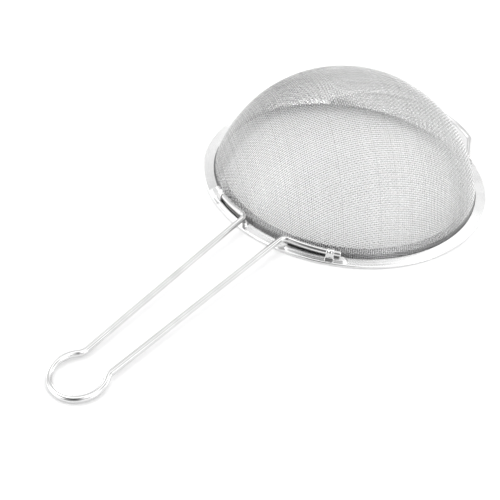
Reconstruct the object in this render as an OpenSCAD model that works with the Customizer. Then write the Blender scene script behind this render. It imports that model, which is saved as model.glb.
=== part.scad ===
// Wire-mesh strainer: a domed woven bowl clamped in a flat rim, a one-piece
// looped wire handle and a wire rest hook held to the rim by bent straps.
// Frame: origin at the centre of the rim on the plane the rim rests on,
// +Z up (bowl resting rim down, dome on top), handle toward -X, hook at +X.

/* [Rim] */
// outer radius of the rim flange
rim_r = 80; // [60:1:100]
// inner radius of the upper flange sheet
flange_in_r = 73.95; // [70:0.05:76]
// thickness of the rim sheet
sheet_t = 0.4; // [0.3:0.05:0.8]
// thickness of the pressed mesh edge between the two sheets
edge_t = 0.3; // [0.2:0.05:0.6]
// width of the hem folded under the flange
hem_w = 2.8; // [1.5:0.1:4]

/* [Bowl] */
// outer radius of the sphere the mesh is pressed to
bowl_r = 76.5; // [60:0.5:100]
// height of that sphere's centre above the rest plane
bowl_cz = -18.5; // [-40:0.5:0]
// thickness of the woven layer
weave_t = 0.6; // [0.3:0.05:1]

/* [Collar] */
// radius of the collar's free top edge
collar_top_r = 69.2; // [66:0.1:73]
// height of the collar's free top edge
collar_top_z = 4.2; // [2:0.1:8]

/* [Handle] */
// diameter of the handle and hook wire
wire_d = 3; // [2:0.1:5]
// radius of the track the wire ends follow on the rim
track_r = 75.6; // [74:0.1:80]
// height of the wire centre at the middle of its run along the rim
run_z = 5.25; // [3:0.05:8]
// angle from the handle axis of the middle of that run
run_mid_a = 22; // [15:0.5:25]
// height of the wire centre where the handle leaves the rim
bend_z = 6; // [3:0.1:8]
// length taken from each side of the corner by the bend at the rim
bend_l = 3.5; // [2:0.1:6]
// angle from the handle axis at which the left wire ends
end_left_a = 31.2; // [20:0.1:45]
// angle from the handle axis at which the right wire ends
end_right_a = 31.7; // [20:0.1:45]
// distance of the left leg from the handle axis near the rim
left_rim_y = 11.86; // [8:0.01:16]
// distance of the left leg from the handle axis near the loop
left_neck_y = 7.93; // [4:0.01:12]
// distance of the right leg from the handle axis near the rim
right_rim_y = 11.34; // [8:0.01:16]
// distance of the right leg from the handle axis near the loop
right_neck_y = 9.3; // [4:0.01:12]
// distance from the rim centre to the middle of the loop
loop_x = 200; // [120:1:260]
// centreline radius of the loop
loop_r = 12; // [8:0.5:18]
// centreline radius of the reverse bends beside the loop
neck_r = 5; // [3:0.1:8]

/* [Hook] */
// height of the hook wire centre
hook_z = 3.04; // [2:0.01:6]
// reach of the hook from the rim centre
hook_x = 96.3; // [86:0.1:110]
// centreline radius of the hook's bowed crossbar
hook_arc_r = 55; // [40:1:80]
// centreline radius of the two hook corners
hook_corner_r = 6; // [3:0.5:9]
// angle of the hook's legs against the long axis
hook_leg_a = 24; // [10:1:40]
// distance of the hook's legs from the rim centre
hook_leg_off = 67.65; // [60:0.05:75]
// distance of the hook wire's ends along its legs
hook_end_t = 33.4; // [30:0.1:45]

/* [Straps] */
// width of each handle strap along the rim
strap_w = 4.4; // [3:0.1:6]
// width of each hook strap along the wire
hook_strap_w = 3.6; // [3:0.1:6]
// strap sheet thickness
strap_t = 0.4; // [0.3:0.05:0.8]
// angle from the handle axis of the left handle strap
strap_left_a = 26.6; // [20:0.1:32]
// angle from the handle axis of the right handle strap
strap_right_a = 27.7; // [20:0.1:32]
// distance of the hook straps along the hook's legs
hook_strap_t = 35.9; // [34:0.1:45]
// height of the pressed pads under the handle wire
pad_h = 1.35; // [0.5:0.05:2]
// angle from the handle axis at which the left pad begins
pad_left_a = 7.5; // [5:0.1:12]
// angle from the handle axis at which the right pad begins
pad_right_a = 10.4; // [5:0.1:12]
// angle from the handle axis at which both pads end
pad_end_a = 34.5; // [32:0.5:40]

/* [Hidden] */
$fn = 96;
steel = [0.80, 0.81, 0.82];
wire_r = wire_d / 2;
z_collar = sheet_t;                 // underside of the collar's flat ring
z_edge = 2 * sheet_t;               // underside of the clamped mesh edge
z_flange = z_edge + edge_t;         // underside of the upper flange sheet
z_top = z_flange + sheet_t;         // top of the flange
fit_gap = 0.1;                      // clearance of straps round the wire

function unit(v) = v / norm(v);

// handle plane: the wire slopes down from the rim to the loop
plane_x = 74;
tilt = atan((bend_z - wire_r) / (loop_x + loop_r - plane_x));
function plane_pt(a, y) = [-plane_x + (a + plane_x) * cos(tilt), y,
                           bend_z + (a + plane_x) * sin(tilt)];

// straight leg of one side: slope in the handle plane and reverse bend beside the loop
function leg_slope(yn, yr) = atan((yr - yn) / 90);
function neck_off(yn, sl) = -20 * sin(sl) + yn * cos(sl) + neck_r;
function neck_c(yn, sl) =
    let (o = neck_off(yn, sl), al = sqrt(pow(loop_r + neck_r, 2) - o * o))
    [-loop_x + al * cos(sl) - o * sin(sl), al * sin(sl) + o * cos(sl)];
function neck_a(yn, sl) = let (c = neck_c(yn, sl)) atan2(c[1], c[0] + loop_x);

// corner where the leg meets the tangent of the run along the rim
run_c = [0, 0, run_z];
corner_d = sqrt(track_r * track_r + bend_l * bend_l);
function leg_dir(yn, yr) = unit(plane_pt(-90, yr) - plane_pt(-180, yn));
function corner_pt(yn, yr) =
    let (p = plane_pt(-180, yn), d = leg_dir(yn, yr), w = p - run_c, b = w * d)
    p + d * (-b - sqrt(b * b - (w * w - corner_d * corner_d)));
// frame of the run's tilted circle: e1 out through the run's middle, e2 toward the bend
e1 = [-cos(run_mid_a), sin(run_mid_a), 0];
function run_e2(k) = let (w = k - run_c) unit(w - (w * e1) * e1);
function run_end(k) = let (w = k - run_c)
    atan2(w * run_e2(k), w * e1) - acos(track_r / corner_d);

// hook: crossbar arc centre, corner centre and leg
hcx = hook_x - hook_arc_r;
hmx = sin(hook_leg_a); hmy = cos(hook_leg_a);
hk = hook_arc_r - hook_corner_r;
ka = 90 - hook_leg_a - acos((hook_leg_off - hook_corner_r - hcx * hmx) / hk);
kx = hcx + hk * cos(ka); ky = hk * sin(ka);
h1 = [kx + hook_corner_r * hmx, ky + hook_corner_r * hmy, hook_z];
// point on the +Y leg's line, t measured along it and q outward from it
function hook_pt(t, q, z) = [(hook_leg_off + q) * hmx + t * hmy,
                             (hook_leg_off + q) * hmy - t * hmx, z];

// bent and straight lengths of wire stop just short of each other, and a
// joint sleeve a hair wider than the wire closes the gap between them
module wire_arc(cx, cy, r, a0, a1, g0 = 0.05, g1 = 0.05) {
    t0 = g0 / r * 180 / PI;
    t1 = g1 / r * 180 / PI;
    translate([cx, cy, 0]) rotate([0, 0, a0 + t0])
        rotate_extrude(angle = a1 - a0 - t0 - t1) translate([r, 0]) circle(d = wire_d);
}

// puts children in the frame with axes x and y at point p
module in_frame(x, y, p) {
    z = cross(x, y);
    multmatrix([[x[0], y[0], z[0], p[0]], [x[1], y[1], z[1], p[1]],
                [x[2], y[2], z[2], p[2]], [0, 0, 0, 1]]) children();
}

// puts children with their z axis along d at point p
module along(d, p) {
    x = unit(cross([0, 0, 1], d));
    in_frame(x, cross(d, x), p) children();
}

module wire_line(p, q) {
    d = unit(q - p);
    along(d, p + 0.05 * d) cylinder(h = norm(q - p) - 0.1, d = wire_d);
}

module joint_sleeve(p, d) {
    along(d, p) cylinder(h = 0.6, d = wire_d + 0.06, center = true);
}

module in_handle_plane() {
    translate([-plane_x, 0, bend_z]) rotate([0, -tilt, 0]) translate([plane_x, 0, 0]) children();
}

// one side of the handle wire, drawn on the +Y side
module handle_half(yn, yr, end_a) {
    sl = leg_slope(yn, yr);
    d = leg_dir(yn, yr);
    k = corner_pt(yn, yr);
    e2 = run_e2(k);
    ta = run_end(k);
    u = -sin(ta) * e1 + cos(ta) * e2;
    a = run_c + track_r * (cos(ta) * e1 + sin(ta) * e2);
    turn = acos(u * -d);
    n = unit(-d + (d * u) * u);
    br = bend_l / tan(turn / 2);
    nc = neck_c(yn, sl);
    na = neck_a(yn, sl);
    l2 = plane_pt(nc[0] + neck_r * sin(sl), nc[1] - neck_r * cos(sl));
    // run along the rim
    in_frame(e1, e2, run_c) wire_arc(0, 0, track_r, run_mid_a - end_a, ta, 0, 0.05);
    joint_sleeve(a, u);
    // bend outward
    in_frame(-n, u, a + br * n) wire_arc(0, 0, br, 0, turn);
    joint_sleeve(k - bend_l * d, d);
    // straight leg
    wire_line(l2, k - bend_l * d);
    joint_sleeve(l2, d);
    // reverse bend beside the loop
    in_handle_plane() wire_arc(nc[0], nc[1], neck_r, na + 180, 270 + sl);
    joint_sleeve(plane_pt(-loop_x + loop_r * cos(na), loop_r * sin(na)),
                 unit(plane_pt(-sin(na), cos(na)) - plane_pt(0, 0)));
}

module handle_wire() {
    nl = neck_a(left_neck_y, leg_slope(left_neck_y, left_rim_y));
    nr = neck_a(right_neck_y, leg_slope(right_neck_y, right_rim_y));
    color(steel)
    union() {
        handle_half(left_neck_y, left_rim_y, end_left_a);
        mirror([0, 1, 0]) handle_half(right_neck_y, right_rim_y, end_right_a);
        in_handle_plane() wire_arc(-loop_x, 0, loop_r, nl, 360 - nr);
    }
}

// one side of the hook wire, +Y side
module hook_half() {
    joint_sleeve([hcx + hook_arc_r * cos(ka), hook_arc_r * sin(ka), hook_z],
                 [-sin(ka), cos(ka), 0]);
    translate([0, 0, hook_z]) wire_arc(kx, ky, hook_corner_r, ka, 90 - hook_leg_a);
    joint_sleeve(h1, [-hmy, hmx, 0]);
    wire_line(h1, hook_pt(hook_end_t, 0, hook_z));
}

module hook_wire() {
    color(steel)
    union() {
        hook_half();
        mirror([0, 1, 0]) hook_half();
        translate([0, 0, hook_z]) wire_arc(hcx, 0, hook_arc_r, -ka, ka);
    }
}

// raised pad pressed in the flange under the handle wire, +Y side
module pad(start_a) {
    rotate([0, 0, 180 - pad_end_a]) rotate_extrude(angle = pad_end_a - start_a)
        polygon([[74.1, z_top - 0.1], [74.3, z_top + pad_h], [78.0, z_top + pad_h],
                 [78.9, z_top - 0.1]]);
}

// upper flange sheet with its outer edge folded under the collar and mesh edge
module rim_flange() {
    color(steel) union() {
        rotate_extrude() polygon([
            [flange_in_r, z_flange], [flange_in_r, z_top - 0.1], [flange_in_r + 0.1, z_top],
            [rim_r - 0.35, z_top], [rim_r - 0.1, z_top - 0.15], [rim_r, z_top - 0.5],
            [rim_r, 0.5], [rim_r - 0.1, 0.15], [rim_r - 0.35, 0],
            [rim_r - hem_w, 0], [rim_r - hem_w, z_collar],
            [rim_r - sheet_t, z_collar], [rim_r - sheet_t, z_flange]]);
        pad(pad_left_a);
        mirror([0, 1, 0]) pad(pad_right_a);
    }
}

// lower ring: flat part under the mesh edge, free edge leaning up into the bowl
module inner_collar() {
    color(steel) rotate_extrude() polygon([
        [rim_r - sheet_t, z_collar], [rim_r - sheet_t, z_edge],
        [72.85, z_edge], [collar_top_r + 0.3, collar_top_z - 0.05],
        [collar_top_r + 0.1, collar_top_z], [collar_top_r - 0.1, collar_top_z - 0.05],
        [collar_top_r - 0.15, collar_top_z - 0.25], [72.6, z_collar]]);
}

// woven bowl as one thin shell, with the flat edge that the rim clamps
module mesh_bowl() {
    color(steel) union() {
        difference() {
            translate([0, 0, bowl_cz]) sphere(r = bowl_r);
            translate([0, 0, bowl_cz]) sphere(r = bowl_r - weave_t);
            translate([-100, -100, z_edge - 100]) cube([200, 200, 100]);
        }
        difference() {
            translate([0, 0, z_edge]) cylinder(r = 78.9, h = edge_t);
            translate([0, 0, z_edge - 1]) cylinder(r = 73.35, h = edge_t + 2);
        }
    }
}

// room for the wire under a strap: a bore along the wire, open downward
module wire_channel() {
    cylinder(h = 12, r = wire_r + fit_gap, center = true);
    translate([-wire_r - fit_gap, -8, -6]) cube([2 * (wire_r + fit_gap), 8, 12]);
}

// strap over the handle wire on the +Y side: saddle over the wire, tab over the
// pad's slope to the rim's edge
module handle_strap(yn, yr, a) {
    k = corner_pt(yn, yr);
    e2 = run_e2(k);
    th = run_mid_a - a;
    p = run_c + track_r * (cos(th) * e1 + sin(th) * e2);
    d = -sin(th) * e1 + cos(th) * e2;
    ro = wire_r + fit_gap + strap_t;
    z_s = z_top + pad_h;
    half = strap_w / track_r * 90 / PI;
    x = unit([p[0], p[1], 0]);
    difference() {
        rotate([0, 0, 180 - a - half]) rotate_extrude(angle = 2 * half)
            polygon(concat(
                [[track_r - ro, z_s + 0.05]],
                [for (i = [0:12]) [track_r - ro * cos(i * 15), p[2] + ro * sin(i * 15)]],
                [[track_r + ro, z_s + strap_t], [78.15, z_s + strap_t],
                 [79.15, z_top + strap_t], [rim_r - 0.4, z_top + strap_t],
                 [rim_r - 0.25, z_top + strap_t * 0.5], [rim_r - 0.4, z_top],
                 [79.0, z_top], [78.0, z_s], [track_r, z_s], [track_r, z_s + 0.05]]));
        in_frame(x, cross(d, x), p) wire_channel();
    }
}

module handle_strap_left() {
    color(steel) handle_strap(left_neck_y, left_rim_y, strap_left_a);
}

module handle_strap_right() {
    color(steel) mirror([0, 1, 0]) handle_strap(right_neck_y, right_rim_y, strap_right_a);
}

// strap over the end of one hook leg, +Y side
module hook_strap() {
    ro = wire_r + fit_gap + strap_t;
    x = [hmx, hmy, 0];
    y = [0, 0, 1];
    difference() {
        in_frame(x, y, hook_pt(hook_strap_t, 0, 0))
            linear_extrude(height = hook_strap_w, center = true)
                polygon(concat(
                    [[-ro, z_top]],
                    [for (i = [0:12]) [-ro * cos(i * 15), hook_z + ro * sin(i * 15)]],
                    [[ro, z_top + strap_t], [5, z_top + strap_t], [5, z_top]]));
        in_frame(x, y, hook_pt(hook_strap_t, 0, hook_z)) wire_channel();
        difference() {
            translate([0, 0, 0]) cylinder(r = 95, h = 10);
            translate([0, 0, -1]) cylinder(r = rim_r - 0.25, h = 12);
        }
    }
}

module hook_strap_left() {
    color(steel) hook_strap();
}

module hook_strap_right() {
    color(steel) mirror([0, 1, 0]) hook_strap();
}

rim_flange();
inner_collar();
mesh_bowl();
handle_wire();
hook_wire();
handle_strap_left();
handle_strap_right();
hook_strap_left();
hook_strap_right();
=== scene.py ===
# Wire mesh strainer: the looks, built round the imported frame.
# Lengths below are in millimetres unless a name ends in _m; MM turns them into metres.
import math
import random

import bmesh
import bpy
import numpy as np
from mathutils import Matrix, Vector


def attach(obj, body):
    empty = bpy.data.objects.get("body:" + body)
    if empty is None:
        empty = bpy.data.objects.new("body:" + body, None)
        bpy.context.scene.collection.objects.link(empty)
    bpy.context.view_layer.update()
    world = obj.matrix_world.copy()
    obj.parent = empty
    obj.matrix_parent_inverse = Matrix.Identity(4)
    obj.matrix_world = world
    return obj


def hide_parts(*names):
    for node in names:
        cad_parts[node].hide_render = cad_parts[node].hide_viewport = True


random.seed(7)
rng = np.random.default_rng(7)
MM = 0.001

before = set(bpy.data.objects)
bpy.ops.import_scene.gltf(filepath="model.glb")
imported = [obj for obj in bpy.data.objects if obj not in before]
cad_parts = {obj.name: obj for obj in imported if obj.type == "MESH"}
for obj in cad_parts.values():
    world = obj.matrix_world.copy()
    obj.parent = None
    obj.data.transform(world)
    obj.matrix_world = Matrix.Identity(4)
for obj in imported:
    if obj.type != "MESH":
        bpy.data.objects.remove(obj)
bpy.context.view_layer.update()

# ---------------------------------------------------------------- sizes (as in the CAD)
RIM_R = 80.0
FLANGE_IN = 73.95
SHEET = 0.4
Z_EDGE = 0.8
Z_FLANGE = 1.1
Z_TOP = 1.5
HEM_W = 2.8
BOWL_CZ = -18.5
BOWL_R = 76.5
WEAVE_T = 0.6
TRACK_R = 75.6
WIRE_D = 3.0
WIRE_R = WIRE_D / 2
RUN_Z, RUN_MID_A, BEND_Z, BEND_L = 5.25, 22.0, 6.0, 3.5
END_LEFT_A, END_RIGHT_A = 31.2, 31.7
LEFT_RIM_Y, LEFT_NECK_Y, RIGHT_RIM_Y, RIGHT_NECK_Y = 11.86, 7.93, 11.34, 9.3
LOOP_X, LOOP_R, NECK_R, PLANE_X = 200.0, 12.0, 5.0, 74.0
HOOK_Z, HOOK_X, HOOK_ARC_R, HOOK_CORNER_R = 3.04, 96.3, 55.0, 6.0
HOOK_LEG_A, HOOK_LEG_OFF, HOOK_END_T = 24.0, 67.65, 33.4
STRAP_W, HOOK_STRAP_W, STRAP_T = 4.4, 3.6, 0.4
STRAP_LEFT_A, STRAP_RIGHT_A, HOOK_STRAP_T = 26.6, 27.7, 35.9
PAD_H, PAD_LEFT_A, PAD_RIGHT_A, PAD_END_A = 1.35, 7.5, 10.4, 34.5
FIT = 0.1
TILT = math.atan((BEND_Z - WIRE_R) / (LOOP_X + LOOP_R - PLANE_X))


def rad(a):
    return math.radians(a)


# ---------------------------------------------------------------- materials
def principled(name, base, rough, metal=1.0):
    m = bpy.data.materials.new(name)
    m.use_nodes = True
    p = m.node_tree.nodes["Principled BSDF"]
    p.inputs["Base Color"].default_value = (*base, 1)
    p.inputs["Roughness"].default_value = rough
    p.inputs["Metallic"].default_value = metal
    return m, m.node_tree, p


def steel(name, base_lo, base_hi, rough_lo, rough_hi, scale, grain, bump, bump_mm, cone=0.0):
    """Bright steel with cloudy polish marks and fine grain lines.

    grain is "ring" for lines that run round the rim, "along" for lines in the
    sheet's own direction, "plain" for a fine even tooth. cone is the fall of a
    ring's face toward its outer edge, in degrees."""
    m, nt, p = principled(name, base_hi, rough_lo)
    n, lk = nt.nodes, nt.links
    tc = n.new("ShaderNodeTexCoord")
    cloud = n.new("ShaderNodeTexNoise")
    cloud.inputs["Scale"].default_value = scale
    cloud.inputs["Detail"].default_value = 4
    lk.new(tc.outputs["Object"], cloud.inputs["Vector"])
    ramp = n.new("ShaderNodeMapRange")
    ramp.inputs["From Min"].default_value = 0.35
    ramp.inputs["From Max"].default_value = 0.65
    lk.new(cloud.outputs["Fac"], ramp.inputs["Value"])
    mix = n.new("ShaderNodeMix")
    mix.data_type = "RGBA"
    mix.inputs[6].default_value = (*base_lo, 1)
    mix.inputs[7].default_value = (*base_hi, 1)
    lk.new(ramp.outputs["Result"], mix.inputs[0])
    lk.new(mix.outputs[2], p.inputs["Base Color"])
    # grain
    fine = n.new("ShaderNodeTexNoise")
    fine.inputs["Detail"].default_value = 3
    if grain == "ring":
        sep = n.new("ShaderNodeSeparateXYZ")
        lk.new(tc.outputs["Object"], sep.inputs["Vector"])
        flat = n.new("ShaderNodeCombineXYZ")
        lk.new(sep.outputs["X"], flat.inputs["X"])
        lk.new(sep.outputs["Y"], flat.inputs["Y"])
        length = n.new("ShaderNodeVectorMath")
        length.operation = "LENGTH"
        lk.new(flat.outputs["Vector"], length.inputs[0])
        ang = n.new("ShaderNodeMath")
        ang.operation = "ARCTAN2"
        lk.new(sep.outputs["Y"], ang.inputs[0])
        lk.new(sep.outputs["X"], ang.inputs[1])
        small = n.new("ShaderNodeMath")
        small.operation = "MULTIPLY"
        small.inputs[1].default_value = 0.004
        lk.new(ang.outputs["Value"], small.inputs[0])
        polar = n.new("ShaderNodeCombineXYZ")
        lk.new(length.outputs["Value"], polar.inputs["X"])
        lk.new(small.outputs["Value"], polar.inputs["Y"])
        lk.new(sep.outputs["Z"], polar.inputs["Z"])
        lk.new(polar.outputs["Vector"], fine.inputs["Vector"])
        fine.inputs["Scale"].default_value = 5200
    else:
        mp = n.new("ShaderNodeMapping")
        mp.inputs["Scale"].default_value = (0.05, 1, 1) if grain == "along" else (1, 1, 1)
        lk.new(tc.outputs["Object"], mp.inputs["Vector"])
        lk.new(mp.outputs["Vector"], fine.inputs["Vector"])
        fine.inputs["Scale"].default_value = 3500
    r = n.new("ShaderNodeMapRange")
    r.inputs["To Min"].default_value = rough_lo
    r.inputs["To Max"].default_value = rough_hi
    both = n.new("ShaderNodeMath")
    both.operation = "MULTIPLY_ADD"
    both.inputs[1].default_value = 0.5
    lk.new(fine.outputs["Fac"], both.inputs[0])
    half = n.new("ShaderNodeMath")
    half.operation = "MULTIPLY"
    half.inputs[1].default_value = 0.5
    lk.new(ramp.outputs["Result"], half.inputs[0])
    lk.new(half.outputs["Value"], both.inputs[2])
    lk.new(both.outputs["Value"], r.inputs["Value"])
    lk.new(r.outputs["Result"], p.inputs["Roughness"])
    b = n.new("ShaderNodeBump")
    b.inputs["Strength"].default_value = bump
    b.inputs["Distance"].default_value = bump_mm * MM
    lk.new(fine.outputs["Fac"], b.inputs["Height"])
    lk.new(b.outputs["Normal"], p.inputs["Normal"])
    if cone:
        fall = n.new("ShaderNodeBump")
        fall.inputs["Strength"].default_value = 1.0
        fall.inputs["Distance"].default_value = -math.tan(rad(cone))
        lk.new(length.outputs["Value"], fall.inputs["Height"])
        lk.new(fall.outputs["Normal"], b.inputs["Normal"])
    return m


MAT_RIM = steel("rim_steel", (0.73, 0.73, 0.73), (0.81, 0.81, 0.81), 0.20, 0.32, 60, "ring", 0.25, 0.010, cone=8)
# the collar's steel is set much darker than the rim's: painted shade for the recess where the cloth enters under the
# flange
MAT_COLLAR_PAINTED_SHADE = steel("collar_steel_painted_shade", (0.30, 0.30, 0.305), (0.38, 0.38, 0.385), 0.10, 0.20, 60, "ring", 0.25, 0.010)
# near-black steel: painted shadow and dark reflection of the handle wire, laid on the pads under it
MAT_PAINTED_WIRE_SHADOW = steel("rim_painted_wire_shadow", (0.03, 0.03, 0.03), (0.07, 0.07, 0.07), 0.30, 0.45, 60, "plain", 0.25, 0.010)
MAT_WIRE = steel("wire_steel", (0.66, 0.66, 0.66), (0.74, 0.74, 0.74), 0.05, 0.10, 90, "plain", 0.10, 0.004)
MAT_STRAP = steel("strap_steel", (0.66, 0.66, 0.66), (0.76, 0.76, 0.76), 0.12, 0.22, 160, "along", 0.25, 0.008)
# four drawn-wire tones for each family; the fifth is painted shade, darker steel on the cloth low down by the clamped
# edge
WEAVE_MATS = [
    [
        principled("%s_steel_%d" % (fam, i), (g * k, g * k, g * k), r)[0]
        for i, (g, r) in enumerate([(0.62, 0.20), (0.57, 0.25), (0.66, 0.18), (0.60, 0.28), (0.32, 0.30)])
    ]
    # warp is set darker and weft lighter: painted shade and painted light for how each wire direction catches the
    # light
    for fam, k in (("warp", 0.83), ("weft", 1.28))
]


# ---------------------------------------------------------------- mesh helpers
def build(name, co_mm, quads, mats, mat_index=None, tris=None, smooth=True):
    me = bpy.data.meshes.new(name)
    co = np.asarray(co_mm, dtype=np.float64) * MM
    quads = np.asarray(quads, dtype=np.int32).reshape(-1, 4)
    tris = np.asarray(tris if tris is not None else [], dtype=np.int32).reshape(-1, 3)
    me.vertices.add(len(co))
    me.vertices.foreach_set("co", co.astype(np.float32).ravel())
    nq, ntri = len(quads), len(tris)
    me.loops.add(nq * 4 + ntri * 3)
    me.loops.foreach_set("vertex_index", np.concatenate([quads.ravel(), tris.ravel()]).astype(np.int32))
    me.polygons.add(nq + ntri)
    starts = np.concatenate([np.arange(nq) * 4, nq * 4 + np.arange(ntri) * 3]).astype(np.int32)
    me.polygons.foreach_set("loop_start", starts)
    me.polygons.foreach_set("use_smooth", np.full(nq + ntri, smooth, dtype=bool))
    for m in mats:
        me.materials.append(m)
    if mat_index is not None:
        me.polygons.foreach_set("material_index", np.asarray(mat_index, dtype=np.int32))
    me.update(calc_edges=True)
    me.validate()
    ob = bpy.data.objects.new(name, me)
    bpy.context.scene.collection.objects.link(ob)
    return ob


def grid_quads(nu, nv, wrap_u=False, wrap_v=False, base=0):
    """Faces of a grid of nu x nv points, the v index running fastest."""
    iu = np.arange(nu if wrap_u else nu - 1)
    iv = np.arange(nv if wrap_v else nv - 1)
    a, b = np.meshgrid(iu, iv, indexing="ij")
    a2, b2 = (a + 1) % nu, (b + 1) % nv
    return (np.stack([a * nv + b, a2 * nv + b, a2 * nv + b2, a * nv + b2], -1).reshape(-1, 4) + base).astype(np.int32)


def unit(v):
    return v / np.maximum(np.linalg.norm(v, axis=-1, keepdims=True), 1e-12)


def smoothstep(x):
    x = np.clip(x, 0, 1)
    return x * x * (3 - 2 * x)


def sharp_by_angle(ob, deg):
    """Marks edges sharper than deg, so smooth shading keeps folds crisp."""
    ob.data.set_sharp_from_angle(angle=rad(deg))


# ---------------------------------------------------------------- 1. woven bowl
PITCH = 1.13
WEAVE_D = 0.30
R_MID = BOWL_R - WEAVE_T / 2
WEAVE_TURN = 50.0  # angle of the first family's normal against +X
SIDES = 6


def net(n):
    """One quadrant of the cloth on the sphere: equal wire lengths between
    crossings, so the squares shear as the real cloth does when it is pressed."""
    a = PITCH / R_MID
    X = np.zeros((n + 1, n + 1, 3))
    k = np.arange(n + 1) * a
    X[:, 0] = np.stack([np.sin(k), 0 * k, np.cos(k)], -1)
    X[0, :] = np.stack([0 * k, np.sin(k), np.cos(k)], -1)
    for s in range(2, 2 * n + 1):
        i = np.arange(max(1, s - n), min(n, s - 1) + 1)
        j = s - i
        A, B, C = X[i, j - 1], X[i - 1, j], X[i - 1, j - 1]
        m = np.cross(A, B)
        mm = np.maximum((m * m).sum(-1, keepdims=True), 1e-12)
        X[i, j] = C - 2 * (m * C).sum(-1, keepdims=True) / mm * m
    return X


# profile of the cloth: down the sphere, then turned out flat between the sheets
S_E = R_MID * math.acos((1.42 - BOWL_CZ) / R_MID)
TURN_L = 0.8
S_END = S_E + TURN_L + 2.6
_s = np.linspace(0, S_END + 4, 6000)
_beta = np.where(_s < S_E, _s / R_MID, S_E / R_MID * np.clip(1 - (_s - S_E) / TURN_L, 0, 1))
_ds = _s[1] - _s[0]
_r = np.concatenate([[0], np.cumsum(np.cos((_beta[1:] + _beta[:-1]) / 2) * _ds)])
_z = BOWL_CZ + R_MID - np.concatenate([[0], np.cumsum(np.sin((_beta[1:] + _beta[:-1]) / 2) * _ds)])
_z = _z + (0.95 - _z[-1]) * smoothstep((_s - S_E + 3) / 4)


def crush(s):
    return 1 - 0.5 * smoothstep((s - S_E + 0.2) / 0.8)


def place(dirs):
    """Sphere directions to points on the cloth's middle surface, with normals."""
    th = np.arccos(np.clip(dirs[..., 2], -1, 1))
    s = th * R_MID
    az = unit(np.stack([dirs[..., 0], dirs[..., 1]], -1))
    az[np.hypot(dirs[..., 0], dirs[..., 1]) < 1e-9] = (1, 0)
    r, z, b = np.interp(s, _s, _r), np.interp(s, _s, _z), np.interp(s, _s, _beta)
    pos = np.stack([az[..., 0] * r, az[..., 1] * r, z], -1)
    nor = np.stack([az[..., 0] * np.sin(b), az[..., 1] * np.sin(b), np.cos(b)], -1)
    return pos, nor, s


def tube(pos, nor, radius, base):
    """A closed tube of SIDES faces round a path, flattened with radius."""
    t = unit(np.gradient(pos, axis=0))
    side = unit(np.cross(t, nor))
    up = np.cross(side, t)
    a = np.arange(SIDES) / SIDES * 2 * np.pi + np.pi / SIDES
    ring = pos[:, None, :] + radius[:, None, None] * (
        np.cos(a)[None, :, None] * up[:, None, :] + np.sin(a)[None, :, None] * side[:, None, :]
    )
    n = len(pos)
    q = grid_quads(n, SIDES, False, True, base)
    return ring.reshape(-1, 3), q


def weave():
    n = int(S_END / PITCH) + 2
    X = net(n)
    th = np.arccos(np.clip(X[..., 2], -1, 1)) * R_MID
    ok = th <= S_END
    turn = rad(WEAVE_TURN)
    rot = np.array([[math.cos(turn), -math.sin(turn), 0], [math.sin(turn), math.cos(turn), 0], [0, 0, 1]])
    amp = WEAVE_D / 2
    made = []
    for fam in (0, 1):
        wires = []
        for i in range(-n, n + 1):
            col = X[abs(i), :] if fam == 0 else X[:, abs(i)]
            good = ok[abs(i), :] if fam == 0 else ok[:, abs(i)]
            if not good[0]:
                continue
            j1 = int(np.argmin(good)) if not good.all() else len(good)
            if j1 < 3:
                continue
            half = col[:j1].copy()
            if fam == 0:
                half[:, 0] *= 1 if i >= 0 else -1
                back = half[:0:-1] * np.array([1, -1, 1])
            else:
                half[:, 1] *= 1 if i >= 0 else -1
                back = half[:0:-1] * np.array([-1, 1, 1])
            pts = np.concatenate([back, half])
            j = np.arange(-(j1 - 1), j1)
            # crossings and the points half way between them
            mid = unit((pts[1:] + pts[:-1]) / 2)
            d = np.empty((len(pts) * 2 - 1, 3))
            d[0::2], d[1::2] = pts, mid
            h = np.zeros(len(d))
            h[0::2] = np.where((i + j) % 2 == 0, 1.0, -1.0) * (1 if fam == 0 else -1)
            d = d @ rot.T
            pos, nor, s = place(d)
            c = crush(s)
            # each wire is a touch off its place, as in real cloth
            pos = pos + nor * (h * amp * c)[:, None]
            wires.append((pos, nor, np.full(len(d), WEAVE_D / 2) * c))
        total = sum(len(w[0]) for w in wires)
        groups, part, count = [[]], 0, 0
        for w in wires:
            if count > total / 4 * (len(groups)) and len(groups) < 4:
                groups.append([])
            groups[-1].append(w)
            count += len(w[0])
        for g, group in enumerate(groups):
            co, qd, mi, base = [], [], [], 0
            for pos, nor, rr in group:
                c, q = tube(pos, nor, rr, base)
                co.append(c)
                qd.append(q)
                tone = np.full(len(q), random.choice([0, 0, 1, 2, 3]))
                # cloth below 3.5 mm takes the fifth tone: painted shade by the clamped edge
                tone[np.repeat(pos[:-1, 2] < 3.5, SIDES)[: len(q)]] = 4
                mi.append(tone)
                base += len(c)
            ob = build(
                "mesh_%s_%d" % ("warp" if fam == 0 else "weft", g + 1),
                np.concatenate(co), np.concatenate(qd), WEAVE_MATS[fam], np.concatenate(mi),
            )
            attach(ob, "root")
            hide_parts("mesh_bowl")
            made.append(ob)
    return made


weave_parts = weave()


# ---------------------------------------------------------------- 2. rim flange
def arc_pts(cx, cy, r, a0, a1, n):
    a = np.radians(np.linspace(a0, a1, n))
    return np.stack([cx + r * np.cos(a), cy + r * np.sin(a)], -1)


def line_pts(p, q, n):
    t = np.linspace(0, 1, n)[:, None]
    return (1 - t) * np.array(p, float) + t * np.array(q, float)


def profile(*parts):
    pts = np.concatenate(parts)
    keep = [0]
    for i in range(1, len(pts)):
        if np.linalg.norm(pts[i] - pts[keep[-1]]) > 1e-4:
            keep.append(i)
    pts = pts[keep]
    if np.linalg.norm(pts[0] - pts[-1]) < 1e-4:
        pts = pts[:-1]
    return pts


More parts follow.
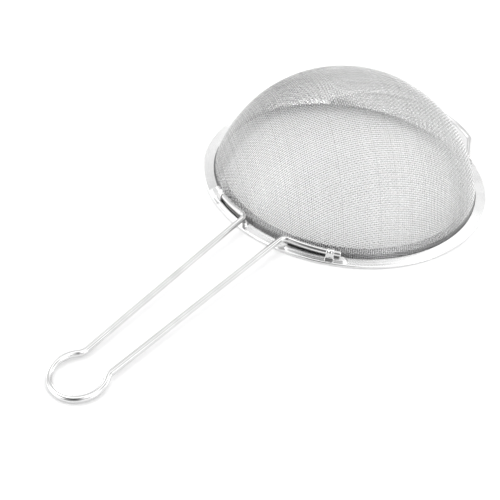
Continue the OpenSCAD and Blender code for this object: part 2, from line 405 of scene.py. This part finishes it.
def revolve(name, prof, n_ang, mats, lift=None):
    """Closed section swept round Z; lift(angle, r, z) moves points up."""
    a = np.arange(n_ang) / n_ang * 2 * np.pi
    r, z = prof[:, 0], prof[:, 1]
    A, Rr = np.meshgrid(a, r, indexing="ij")
    Z = np.broadcast_to(z, A.shape).copy()
    if lift is not None:
        Rr, Z = lift(A, Rr, Z)
    co = np.stack([Rr * np.cos(A), Rr * np.sin(A), Z], -1).reshape(-1, 3)
    return build(name, co, grid_quads(n_ang, len(prof), True, True)[:, ::-1], mats)


flange_prof = profile(
    arc_pts(FLANGE_IN + 0.12, Z_TOP - 0.12, 0.12, 180, 90, 5),
    line_pts((FLANGE_IN + 0.12, Z_TOP), (RIM_R - 0.75, Z_TOP), 34),
    arc_pts(RIM_R - 0.75, Z_TOP / 2, 0.75, 90, -90, 15),
    line_pts((RIM_R - 0.75, 0), (RIM_R - HEM_W + 0.1, 0), 5),
    arc_pts(RIM_R - HEM_W + 0.1, 0.1, 0.1, 270, 180, 4),
    line_pts((RIM_R - HEM_W, 0.1), (RIM_R - HEM_W, SHEET), 2),
    line_pts((RIM_R - HEM_W, SHEET), (RIM_R - SHEET, SHEET), 4),
    line_pts((RIM_R - SHEET, SHEET), (RIM_R - SHEET, Z_FLANGE), 3),
    line_pts((RIM_R - SHEET, Z_FLANGE), (FLANGE_IN, Z_FLANGE), 12),
    line_pts((FLANGE_IN, Z_FLANGE), (FLANGE_IN, Z_TOP - 0.12), 3),
)


def pad_mask(A, R):
    """1 on the pressed pads, 0 off them, with sloping sides and rounded ends."""
    a = np.degrees(A) % 360 - 180  # angle from the handle axis; left (+Y) is negative here
    out = np.zeros_like(R)
    for s, e, sign in ((PAD_LEFT_A, PAD_END_A, -1), (PAD_RIGHT_A, PAD_END_A, 1)):
        along = sign * a
        r0, r1 = 74.12, 79.15
        mid, half = (r0 + r1) / 2, (r1 - r0) / 2
        # distance outside a rounded slot shape, in mm
        u = np.maximum(np.radians(s) * mid + half - np.radians(along) * mid, np.radians(along) * mid - np.radians(e) * mid + half)
        u = np.maximum(u, 0)
        d = np.hypot(u, (R - mid))
        out = np.maximum(out, smoothstep((half - d) / 0.85))
    return out


def flange_lift(A, R, Z):
    k = smoothstep((Z - (Z_FLANGE - 0.01)) / 0.02) * (R < 79.6)
    Z = Z + k * PAD_H * pad_mask(A, R)
    # a pressed sheet is never quite flat
    wob = 0.018 * np.sin(3 * A + 0.6) + 0.014 * np.sin(7 * A + 2.1) + 0.008 * np.sin(17 * A)
    mid = np.clip((R - 74.5) / 1.5, 0, 1) * np.clip((79.4 - R) / 1.5, 0, 1)
    Z = Z + k * mid * (wob - 0.04)
    return R, Z


flange = revolve("rim_flange_sheet", flange_prof, 1080, [MAT_RIM], flange_lift)
sharp_by_angle(flange, 60)
# the pads are painted near black right under the wire: painted shadow and dark reflection of the wire on them
flange.data.materials.append(MAT_PAINTED_WIRE_SHADOW)
_n = len(flange.data.polygons)
_c, _mi = np.empty(_n * 3), np.empty(_n, np.int32)
flange.data.polygons.foreach_get("center", _c)
flange.data.polygons.foreach_get("material_index", _mi)
_c = _c.reshape(-1, 3) / MM
_r, _a = np.hypot(_c[:, 0], _c[:, 1]), np.degrees(np.arctan2(_c[:, 1], _c[:, 0]))
_painted_wire_shadow = (_c[:, 2] > Z_TOP + 0.2) & (
    ((_a < -153) & (_a > -171) & (_r < 76.2)) | ((_a > 155) & (_a < 168) & (_r > 76.6) & (_r < 77.5))
)
_mi[_painted_wire_shadow] = 1
flange.data.polygons.foreach_set("material_index", _mi)
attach(flange, "root")
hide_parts("rim_flange")

# ---------------------------------------------------------------- 3. inner collar
lip = 0.22
collar_prof = profile(
    line_pts((RIM_R - SHEET - 0.02, Z_EDGE), (73.35, Z_EDGE), 8),
    arc_pts(73.35, Z_EDGE + 0.55, 0.55, 270, 226, 6),
    line_pts((72.97, Z_EDGE + 0.16), (69.62, 3.86), 10),
    arc_pts(69.42, 3.86 + 0.02, 0.26, 40, 220, 10),
    line_pts((69.22, 3.70), (72.5, 0.62), 10),
    arc_pts(73.1, 1.08, 0.68, 222, 270, 6),
    line_pts((73.1, SHEET), (RIM_R - SHEET - 0.02, SHEET), 8),
)
collar = revolve("inner_collar_ring", collar_prof, 720, [MAT_COLLAR_PAINTED_SHADE])
sharp_by_angle(collar, 60)
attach(collar, "root")
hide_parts("inner_collar")


# ---------------------------------------------------------------- 4, 5. wires
def plane_pt(a, y):
    """Point of the sloping handle plane."""
    return np.array([-PLANE_X + (a + PLANE_X) * math.cos(TILT), y, BEND_Z + (a + PLANE_X) * math.sin(TILT)])


E1 = np.array([-math.cos(rad(RUN_MID_A)), math.sin(rad(RUN_MID_A)), 0])
RUN_C = np.array([0, 0, RUN_Z])


class Side:
    """One side of the handle wire, worked out on the +Y side."""

    def __init__(self, yn, yr, end_a):
        self.end_a = end_a
        self.sl = math.atan((yr - yn) / 90)
        self.d = unit(plane_pt(-90, yr) - plane_pt(-180, yn))
        p = plane_pt(-180, yn)
        cd = math.hypot(TRACK_R, BEND_L)
        w = p - RUN_C
        b = w @ self.d
        self.k = p + self.d * (-b - math.sqrt(b * b - (w @ w - cd * cd)))
        w = self.k - RUN_C
        self.e2 = unit(w - (w @ E1) * E1)
        self.ta = math.atan2(w @ self.e2, w @ E1) - math.acos(TRACK_R / cd)
        self.u = -math.sin(self.ta) * E1 + math.cos(self.ta) * self.e2
        self.a = RUN_C + TRACK_R * (math.cos(self.ta) * E1 + math.sin(self.ta) * self.e2)
        off = -20 * math.sin(self.sl) + yn * math.cos(self.sl) + NECK_R
        al = math.sqrt((LOOP_R + NECK_R) ** 2 - off * off)
        self.nc = (-LOOP_X + al * math.cos(self.sl) - off * math.sin(self.sl), al * math.sin(self.sl) + off * math.cos(self.sl))
        self.na = math.degrees(math.atan2(self.nc[1], self.nc[0] + LOOP_X))

    def run_pt(self, deg):
        """Centre of the wire at an angle from the handle axis, and its direction."""
        t = rad(RUN_MID_A - deg)
        return (
            RUN_C + TRACK_R * (math.cos(t) * E1 + math.sin(t) * self.e2),
            -math.sin(t) * E1 + math.cos(t) * self.e2,
        )

    def path(self):
        """From the end on the rim to the far side of the loop."""
        t = np.linspace(rad(RUN_MID_A - self.end_a), self.ta, 44)[:, None]
        run = RUN_C + TRACK_R * (np.cos(t) * E1 + np.sin(t) * self.e2)
        v = -self.d
        turn = math.acos(self.u @ v)
        n = unit(v - (v @ self.u) * self.u)
        br = BEND_L / math.tan(turn / 2)
        t = np.linspace(0, turn, 26)[1:, None]
        bend = self.a + br * n + br * (-np.cos(t) * n + np.sin(t) * self.u)
        flat = profile(
            arc_pts(*self.nc, NECK_R, 270 + math.degrees(self.sl), 180 + self.na, 18),
            arc_pts(-LOOP_X, 0, LOOP_R, self.na, 180, 60),
        )
        loop = np.array([plane_pt(*p) for p in flat])
        t = np.linspace(0, 1, 90)[1:-1, None]
        leg = bend[-1] + t * (loop[0] - bend[-1])
        # hand-bent wire is never dead straight
        leg[:, 1] += 0.10 * np.sin(t[:, 0] * np.pi) * (1 + 0.4 * np.sin(t[:, 0] * 9))
        return np.concatenate([run, bend, leg, loop])


LEFT = Side(LEFT_NECK_Y, LEFT_RIM_Y, END_LEFT_A)
RIGHT = Side(RIGHT_NECK_Y, RIGHT_RIM_Y, END_RIGHT_A)
MIRROR = np.array([1, -1, 1])


def sweep(name, p, mats, sides=28):
    """Round wire along a path, its cut ends slightly bevelled."""
    t = unit(np.gradient(p, axis=0))
    side = unit(np.cross(t, np.array([0, 0, 1.0])))
    up = np.cross(side, t)
    a = np.arange(sides) / sides * 2 * np.pi
    ca, sa = np.cos(a)[:, None], np.sin(a)[:, None]
    ends = 0.16
    rows = []

    def ring(i, shift, r):
        rows.append(p[i] + t[i] * shift + r * (ca * up[i] + sa * side[i]))

    ring(0, 0, WIRE_R * 0.55)
    ring(0, 0, WIRE_R - ends)
    ring(0, ends * 0.4, WIRE_R - ends * 0.3)
    for i in range(len(p)):
        ring(i, ends if i == 0 else -ends if i == len(p) - 1 else 0, WIRE_R)
    ring(-1, -ends * 0.4, WIRE_R - ends * 0.3)
    ring(-1, 0, WIRE_R - ends)
    ring(-1, 0, WIRE_R * 0.55)
    n = len(rows)
    co = np.concatenate(rows + [p[:1], p[-1:]])
    q = grid_quads(n, sides, False, True)
    j = np.arange(sides)
    tr = np.concatenate([
        np.stack([np.full(sides, n * sides), (j + 1) % sides, j], -1),
        np.stack([np.full(sides, n * sides + 1), (n - 1) * sides + j, (n - 1) * sides + (j + 1) % sides], -1),
    ])
    ob = build(name, co, q, mats, tris=tr)
    face_out(ob)
    sharp_by_angle(ob, 50)
    return ob


def face_out(ob):
    bm = bmesh.new()
    bm.from_mesh(ob.data)
    bmesh.ops.recalc_face_normals(bm, faces=bm.faces)
    bm.to_mesh(ob.data)
    bm.free()


right_path = RIGHT.path() * MIRROR
handle = sweep("handle_wire_loop", np.concatenate([LEFT.path(), right_path[-2::-1]]), [MAT_WIRE])
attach(handle, "root")
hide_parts("handle_wire")

HM = np.array([math.sin(rad(HOOK_LEG_A)), math.cos(rad(HOOK_LEG_A)), 0])  # outward from the hook's leg
HU = np.array([HM[1], -HM[0], 0])  # along it, away from the rim


def hook_pt(t, q, z):
    """Point by the +Y hook leg, t along it and q outward from it."""
    return (HOOK_LEG_OFF + q) * HM + t * HU + np.array([0, 0, z])


def hook_half():
    hcx = HOOK_X - HOOK_ARC_R
    hk = HOOK_ARC_R - HOOK_CORNER_R
    ka = 90 - HOOK_LEG_A - math.degrees(math.acos((HOOK_LEG_OFF - HOOK_CORNER_R - hcx * HM[0]) / hk))
    k = (hcx + hk * math.cos(rad(ka)), hk * math.sin(rad(ka)))
    flat = profile(
        arc_pts(hcx, 0, HOOK_ARC_R, 0, ka, 50),
        arc_pts(*k, HOOK_CORNER_R, ka, 90 - HOOK_LEG_A, 16),
        line_pts((k[0] + HOOK_CORNER_R * HM[0], k[1] + HOOK_CORNER_R * HM[1]), hook_pt(HOOK_END_T, 0, 0)[:2], 26),
    )
    return np.concatenate([flat, np.full((len(flat), 1), HOOK_Z)], 1)


hh = hook_half()
hook = sweep("hook_wire_rest", np.concatenate([(hh * MIRROR)[:0:-1], hh]), [MAT_WIRE])
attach(hook, "root")
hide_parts("hook_wire")


# ---------------------------------------------------------------- 6 to 9. straps
TOP = np.array([-1.0, -0.985, -0.93, -0.80, -0.62, -0.46, -0.30, -0.15, 0, 0.15, 0.30, 0.46, 0.62, 0.80, 0.93, 0.985, 1.0])
EDGE = np.array([0.0, 0.55, 0.92, 1.0, 1.0, 1.0, 1.0, 1.0, 1.0, 1.0, 1.0, 1.0, 1.0, 1.0, 0.92, 0.55, 0.0])


def strap(name, cad_node, path, widths, groove, to_world):
    """A bent strip: path is its middle line in the section plane, widths its
    half width at each point, groove how far its middle is pressed toward the wire."""
    n = len(path)
    tang = unit(np.gradient(path, axis=0))
    nrm = np.stack([-tang[:, 1], tang[:, 0]], -1)
    if nrm[1, 0] > 0:
        nrm = -nrm
    dip = np.cos(np.clip(np.abs(TOP) / 0.55, 0, 1) * np.pi / 2) ** 1.2
    ridge = np.exp(-(((np.abs(TOP) - 0.66) / 0.16) ** 2))
    rows = []
    for i in range(n):
        off = STRAP_T / 2 * EDGE - groove[i] * 0.22 * dip + groove[i] * 0.10 * ridge
        upper = [(path[i] + nrm[i] * off[k], TOP[k] * widths[i]) for k in range(len(TOP))]
        lower = [(path[i] - nrm[i] * STRAP_T / 2 * EDGE[k], TOP[k] * widths[i]) for k in range(len(TOP) - 2, 0, -1)]
        rows.append(upper + lower)
    m = len(rows[0])
    pts = np.array([[(q[0][0], q[1], q[0][1]) for q in ring] for ring in rows])
    # rounded corners at the two ends come from the width; blunt faces close them
    out = to_world(pts.reshape(-1, 3))
    q = grid_quads(n, m, False, True)
    j = np.arange(m)
    c0 = len(out)
    out = np.concatenate([out, out[:m].mean(0, keepdims=True), out[(n - 1) * m:].mean(0, keepdims=True)])
    caps = np.concatenate([
        np.stack([np.full(m, c0), (j + 1) % m, j], -1),
        np.stack([np.full(m, c0 + 1), (n - 1) * m + j, (n - 1) * m + (j + 1) % m], -1),
    ])
    ob = build(name, out, q, [MAT_STRAP], tris=caps)
    face_out(ob)
    sharp_by_angle(ob, 55)
    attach(ob, "root")
    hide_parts(cad_node)
    return ob


def smooth_path(pts, n):
    """Even points on a gently rounded line through the given ones."""
    p = np.asarray(pts, float)
    for _ in range(2):
        q = [p[0]]
        for i in range(len(p) - 1):
            q += [0.8 * p[i] + 0.2 * p[i + 1], 0.2 * p[i] + 0.8 * p[i + 1]]
        q.append(p[-1])
        p = np.array(q)
    s = np.concatenate([[0], np.cumsum(np.linalg.norm(np.diff(p, axis=0), axis=1))])
    t = np.linspace(0, s[-1], n)
    return np.stack([np.interp(t, s, p[:, 0]), np.interp(t, s, p[:, 1])], -1)


def handle_strap(name, cad_node, side, deg, sign):
    p, d = side.run_pt(deg)
    z_w, z_s, t2 = p[2], Z_TOP + PAD_H, STRAP_T / 2
    mid = WIRE_R + FIT + t2
    pts = [(TRACK_R - mid, z_s + 0.10)] + [
        (TRACK_R - mid * math.cos(a), z_w + mid * math.sin(a)) for a in np.radians(np.linspace(0, 168, 22))
    ] + [(TRACK_R + mid + 0.05, z_s + t2 + 0.30), (TRACK_R + mid + 0.25, z_s + t2 + 0.02), (78.05, z_s + t2),
         (79.05, Z_TOP + t2), (RIM_R - 0.28, Z_TOP + t2)]
    path = smooth_path(pts, 64)
    s = np.linspace(0, 1, 64)
    w = STRAP_W / 2 * (0.90 + 0.10 * smoothstep((s - 0.66) / 0.2))
    g = smoothstep((s - 0.10) / 0.10) * smoothstep((0.80 - s) / 0.12)
    slope = d[2] / math.hypot(d[0], d[1])

    def to_world(c):
        a = rad(180 - deg) - c[:, 1] / TRACK_R
        # the saddle follows the climbing wire, the feet stay flat
        k = smoothstep((c[:, 2] - z_s - 0.2) / 1.2)
        z = c[:, 2] - c[:, 1] * slope * -1 * k
        return np.stack([c[:, 0] * np.cos(a), sign * c[:, 0] * np.sin(a), z], -1)

    return strap(name, cad_node, path, w, g, to_world)


def hook_strap(name, cad_node, sign):
    t2 = STRAP_T / 2
    mid = WIRE_R + FIT + t2
    pts = [(-mid, Z_TOP + 0.02)] + [
        (-mid * math.cos(a), HOOK_Z + mid * math.sin(a)) for a in np.radians(np.linspace(0, 172, 22))
    ] + [(mid, Z_TOP + t2 + 0.25), (mid + 0.2, Z_TOP + t2 + 0.02), (mid + 0.95, Z_TOP + t2)]
    path = smooth_path(pts, 52)
    s = np.linspace(0, 1, 52)
    w = HOOK_STRAP_W / 2 * (0.92 + 0 * s)
    g = smoothstep((s - 0.14) / 0.12) * smoothstep((0.84 - s) / 0.12)

    def to_world(c):
        q = c[:, 0].copy()
        t = HOOK_STRAP_T + c[:, 1]
        lim = np.sqrt((RIM_R - 0.3) ** 2 - t * t) - HOOK_LEG_OFF
        q = np.where(c[:, 2] < Z_TOP + 0.5, np.minimum(q, np.maximum(lim, 1.7)), q)
        p = (HOOK_LEG_OFF + q)[:, None] * HM + t[:, None] * HU
        return np.stack([p[:, 0], sign * p[:, 1], c[:, 2]], -1)

    return strap(name, cad_node, path, w, g, to_world)


handle_strap("handle_strap_left_bent", "handle_strap_left", LEFT, STRAP_LEFT_A, 1)
handle_strap("handle_strap_right_bent", "handle_strap_right", RIGHT, STRAP_RIGHT_A, -1)
hook_strap("hook_strap_left_bent", "hook_strap_left", 1)
hook_strap("hook_strap_right_bent", "hook_strap_right", -1)

# ---------------------------------------------------------------- floor
fm, fnt, fp = principled("floor_pale", (0.86, 0.86, 0.86), 0.55, 0.0)
fn = fnt.nodes.new("ShaderNodeTexNoise")
fn.inputs["Scale"].default_value = 40
fr = fnt.nodes.new("ShaderNodeMapRange")
fr.inputs["To Min"].default_value = 0.50
fr.inputs["To Max"].default_value = 0.60
fnt.links.new(fn.outputs["Fac"], fr.inputs["Value"])
fnt.links.new(fr.outputs["Result"], fp.inputs["Roughness"])
fme = bpy.data.meshes.new("floor")
fme.from_pydata([(-4, -4, 0), (4, -4, 0), (4, 4, 0), (-4, 4, 0)], [], [(0, 1, 2, 3)])
fme.materials.append(fm)
floor = bpy.data.objects.new("floor", fme)
floor.location.z = -0.00005
fp.inputs["Emission Color"].default_value = (1, 1, 1, 1)  # a light table
fp.inputs["Emission Strength"].default_value = 0.12
bpy.context.scene.collection.objects.link(floor)

# ---------------------------------------------------------------- camera
AZ, EL, ROLL = rad(-145.0538), rad(41.0857), rad(5.3477)
DIST = 4.9618 * 0.08
T = Vector((-1.1097 * 0.08, -0.0315 * 0.08, 0.0006))
C = T + DIST * Vector((math.cos(EL) * math.cos(AZ), math.cos(EL) * math.sin(AZ), math.sin(EL)))
fwd = (T - C).normalized()
right0 = fwd.cross(Vector((0, 0, 1))).normalized()
up0 = right0.cross(fwd)
right = math.cos(ROLL) * right0 + math.sin(ROLL) * up0
up = -math.sin(ROLL) * right0 + math.cos(ROLL) * up0
cam_data = bpy.data.cameras.new("cam")
cam_data.sensor_width = 36
cam_data.lens = 797.088 / 500 * 36
cam_data.shift_x, cam_data.shift_y = -0.001, 0.001
cam_data.clip_start, cam_data.clip_end = 0.01, 20
cam = bpy.data.objects.new("cam", cam_data)
cam.matrix_world = Matrix((
    (right.x, up.x, -fwd.x, C.x),
    (right.y, up.y, -fwd.y, C.y),
    (right.z, up.z, -fwd.z, C.z),
    (0, 0, 0, 1),
))
bpy.context.scene.collection.objects.link(cam)
bpy.context.scene.camera = cam

# ---------------------------------------------------------------- light
# A white tent of broad soft sources: each falls off smoothly from its centre.
LOBES = [  # azimuth, height, tightness, strength
    (-150, 4, 28, 0.249), (-120, 4, 28, 1.425), (-90, 4, 28, 3.019), (-60, 4, 28, 0.332),
    (-30, 4, 28, 3.159), (0, 4, 28, 1.327), (30, 4, 28, 4.082), (60, 4, 28, 0.092),
    (90, 4, 28, 2.944), (120, 4, 28, 1.76), (150, 4, 28, 2.844), (-165, 25, 28, 0.306),
    (-135, 25, 28, 0.337), (-105, 25, 28, 0.063), (-75, 25, 28, 1.827), (-45, 25, 28, 1.664),
    (-15, 25, 28, 0.876), (15, 25, 28, 0.307), (45, 25, 28, 0.824), (75, 25, 28, 1.92),
    (105, 25, 28, 0.308), (135, 25, 28, 2.118), (165, 25, 28, 2.3), (-108, 46, 28, 1.446),
    (-72, 46, 28, 1.229), (0, 46, 28, 1.561), (36, 46, 28, 0.714), (108, 46, 28, 1.205),
    (144, 46, 28, 0.234), (-90, 67, 28, 2.055), (-30, 67, 28, 0.808), (30, 67, 28, 1.122),
    (90, 67, 28, 2.801), (150, 67, 28, 0.548), (-145, 89, 20, 0.143),
]
world = bpy.data.worlds.new("studio")
bpy.context.scene.world = world
world.use_nodes = True
wn, wl = world.node_tree.nodes, world.node_tree.links
bg = wn["Background"]
tc = wn.new("ShaderNodeTexCoord")
nv = wn.new("ShaderNodeVectorMath")
nv.operation = "NORMALIZE"
wl.new(tc.outputs["Generated"], nv.inputs[0])
total = None
for az, el, tight, strength in LOBES:
    dot = wn.new("ShaderNodeVectorMath")
    dot.operation = "DOT_PRODUCT"
    dot.inputs[1].default_value = (
        math.cos(rad(el)) * math.cos(rad(az)), math.cos(rad(el)) * math.sin(rad(az)), math.sin(rad(el)))
    wl.new(nv.outputs["Vector"], dot.inputs[0])
    pos = wn.new("ShaderNodeMath")
    pos.operation = "MAXIMUM"
    pos.inputs[1].default_value = 0
    wl.new(dot.outputs["Value"], pos.inputs[0])
    fall = wn.new("ShaderNodeMath")
    fall.operation = "POWER"
    fall.inputs[1].default_value = tight
    wl.new(pos.outputs["Value"], fall.inputs[0])
    acc = wn.new("ShaderNodeMath")
    acc.operation = "MULTIPLY_ADD"
    acc.inputs[1].default_value = strength
    acc.inputs[2].default_value = 0
    wl.new(fall.outputs["Value"], acc.inputs[0])
    if total:
        wl.new(total, acc.inputs[2])
    total = acc.outputs["Value"]
wl.new(total, bg.inputs["Strength"])
bg.inputs["Color"].default_value = (1, 1, 1, 1)

bpy.context.scene.view_settings.view_transform = "Standard"
